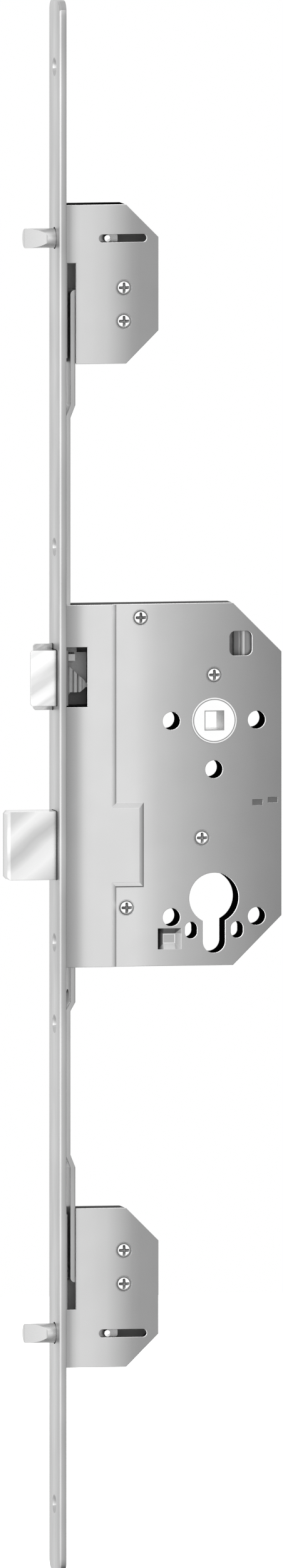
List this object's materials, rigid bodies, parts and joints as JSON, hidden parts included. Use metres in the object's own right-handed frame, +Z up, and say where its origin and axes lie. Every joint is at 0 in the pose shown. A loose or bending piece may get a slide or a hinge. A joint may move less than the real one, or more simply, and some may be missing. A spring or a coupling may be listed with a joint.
{
  "type": "multipoint mortise door lock",
  "caption": "Door-edge lock on a long faceplate: sprung latch with trigger, deadbolt and two outer round bolts worked by rods, all drawn back by turning the square follower.",
  "frame": {"origin": "on the axis of the square follower, half way through the thickness of the cases", "axes": "+Z up along the faceplate, -X out of the faceplate's front, -Y out of the screwed cover"},
  "size_m": [0.122, 0.024, 0.6904],
  "materials": {
    "stainless": "brushed",
    "zinc_sheet": "satin",
    "bright_steel": "satin",
    "polished_nickel": "polished",
    "cast_zinc": "satin",
    "inner_steel": "matte",
    "spring_wire": "satin"
  },
  "bodies": {
    "case": {"faceplate": "stainless", "main_case_tray": "zinc_sheet", "main_case_cover": "zinc_sheet", "main_case_screws": "bright_steel", "main_case_posts": "inner_steel", "rose_sleeves": "inner_steel", "follower_bushes": "cast_zinc", "lever_pivot_pin": "bright_steel", "spring_bracket": "inner_steel", "return_guide_rod": "inner_steel", "corner_stiffener": "inner_steel", "cover_catch": "inner_steel", "return_spring": "spring_wire", "latch_spring": "spring_wire", "upper_box_tray": "zinc_sheet", "upper_box_cover": "zinc_sheet", "upper_box_screws": "bright_steel", "upper_box_posts": "inner_steel", "upper_bolt_bush": "cast_zinc", "upper_crank_pin": "bright_steel", "lower_box_tray": "zinc_sheet", "lower_box_cover": "zinc_sheet", "lower_box_screws": "bright_steel", "lower_box_posts": "inner_steel", "lower_bolt_bush": "cast_zinc", "lower_crank_pin": "bright_steel"},
    "follower": {"follower": "cast_zinc"},
    "pull_bar": {"pull_bar": "inner_steel", "cam_pin": "bright_steel"},
    "latch": {"latch_head": "polished_nickel", "latch_tail": "bright_steel", "latch_stem": "inner_steel", "trigger_spring": "spring_wire"},
    "trigger": {"latch_trigger": "polished_nickel"},
    "upper_drive": {"upper_slide": "inner_steel", "upper_rod": "bright_steel"},
    "lower_drive": {"lower_slide": "inner_steel", "lower_rod": "bright_steel"},
    "deadbolt": {"deadbolt": "polished_nickel"},
    "deadbolt_lever": {"deadbolt_lever": "inner_steel", "deadbolt_lever_pins": "bright_steel"},
    "cylinder_lever": {"cylinder_lever": "inner_steel", "cylinder_lever_pin": "bright_steel"},
    "upper_crank": {"upper_crank": "cast_zinc"},
    "upper_bolt": {"upper_bolt": "polished_nickel", "upper_guide_pin": "bright_steel"},
    "lower_crank": {"lower_crank": "cast_zinc"},
    "lower_bolt": {"lower_bolt": "polished_nickel", "lower_guide_pin": "bright_steel"}
  },
  "joints": [
    {"name": "follower_turn", "type": "hinge", "parent": "case", "child": "follower", "pos_m": [0, 0, 0], "axis": [0, 1, 0], "range_deg": [0, 45], "stiffness_Nm_per_rad": 1, "springref_deg": -17.19},
    {"name": "pull_bar_slide", "type": "slide", "parent": "case", "child": "pull_bar", "axis": [1, 0, 0], "range_m": [0, 0.0117], "deforming": ["return_spring"]},
    {"name": "latch_slide", "type": "slide", "parent": "case", "child": "latch", "axis": [1, 0, 0], "range_m": [0, 0.0117], "deforming": ["latch_spring"]},
    {"name": "trigger_slide", "type": "slide", "parent": "latch", "child": "trigger", "axis": [1, 0, 0], "range_m": [0, 0.0065], "stiffness_N_per_m": 250, "springref_m": -0.006, "deforming": ["trigger_spring"]},
    {"name": "upper_drive_slide", "type": "slide", "parent": "case", "child": "upper_drive", "axis": [0, 0, 1], "range_m": [0, 0.012]},
    {"name": "lower_drive_slide", "type": "slide", "parent": "case", "child": "lower_drive", "axis": [0, 0, -1], "range_m": [0, 0.012]},
    {"name": "deadbolt_slide", "type": "slide", "parent": "case", "child": "deadbolt", "axis": [1, 0, 0], "range_m": [0, 0.022]},
    {"name": "deadbolt_lever_turn", "type": "hinge", "parent": "case", "child": "deadbolt_lever", "pos_m": [-0.0298, 0, -0.022], "axis": [0, -1, 0], "range_deg": [0, 40]},
    {"name": "cylinder_lever_turn", "type": "hinge", "parent": "case", "child": "cylinder_lever", "pos_m": [-0.0055, 0, -0.0515], "axis": [0, 1, 0], "range_deg": [0, 40]},
    {"name": "upper_crank_turn", "type": "hinge", "parent": "case", "child": "upper_crank", "pos_m": [-0.0472, 0, 0.1916], "axis": [0, 1, 0], "range_deg": [0, 44]},
    {"name": "upper_bolt_slide", "type": "slide", "parent": "case", "child": "upper_bolt", "axis": [1, 0, 0], "range_m": [0, 0.0135]},
    {"name": "lower_crank_turn", "type": "hinge", "parent": "case", "child": "lower_crank", "pos_m": [-0.0472, 0, -0.2476], "axis": [0, -1, 0], "range_deg": [0, 44]},
    {"name": "lower_bolt_slide", "type": "slide", "parent": "case", "child": "lower_bolt", "axis": [1, 0, 0], "range_m": [0, 0.0135]}
  ],
  "couplings": [
    {"joint": "pull_bar_slide", "follows": "follower_turn", "m_per_rad": 0.014896},
    {"joint": "latch_slide", "follows": "follower_turn", "m_per_rad": 0.014896},
    {"joint": "upper_drive_slide", "follows": "follower_turn", "m_per_rad": 0.015278},
    {"joint": "lower_drive_slide", "follows": "follower_turn", "m_per_rad": 0.015278},
    {"joint": "deadbolt_slide", "follows": "follower_turn", "m_per_rad": 0.028011},
    {"joint": "deadbolt_lever_turn", "follows": "follower_turn", "ratio": 0.88889},
    {"joint": "cylinder_lever_turn", "follows": "follower_turn", "ratio": 0.88889},
    {"joint": "upper_crank_turn", "follows": "follower_turn", "ratio": 0.97778},
    {"joint": "upper_bolt_slide", "follows": "follower_turn", "m_per_rad": 0.017188},
    {"joint": "lower_crank_turn", "follows": "follower_turn", "ratio": 0.97778},
    {"joint": "lower_bolt_slide", "follows": "follower_turn", "m_per_rad": 0.017188}
  ]
}
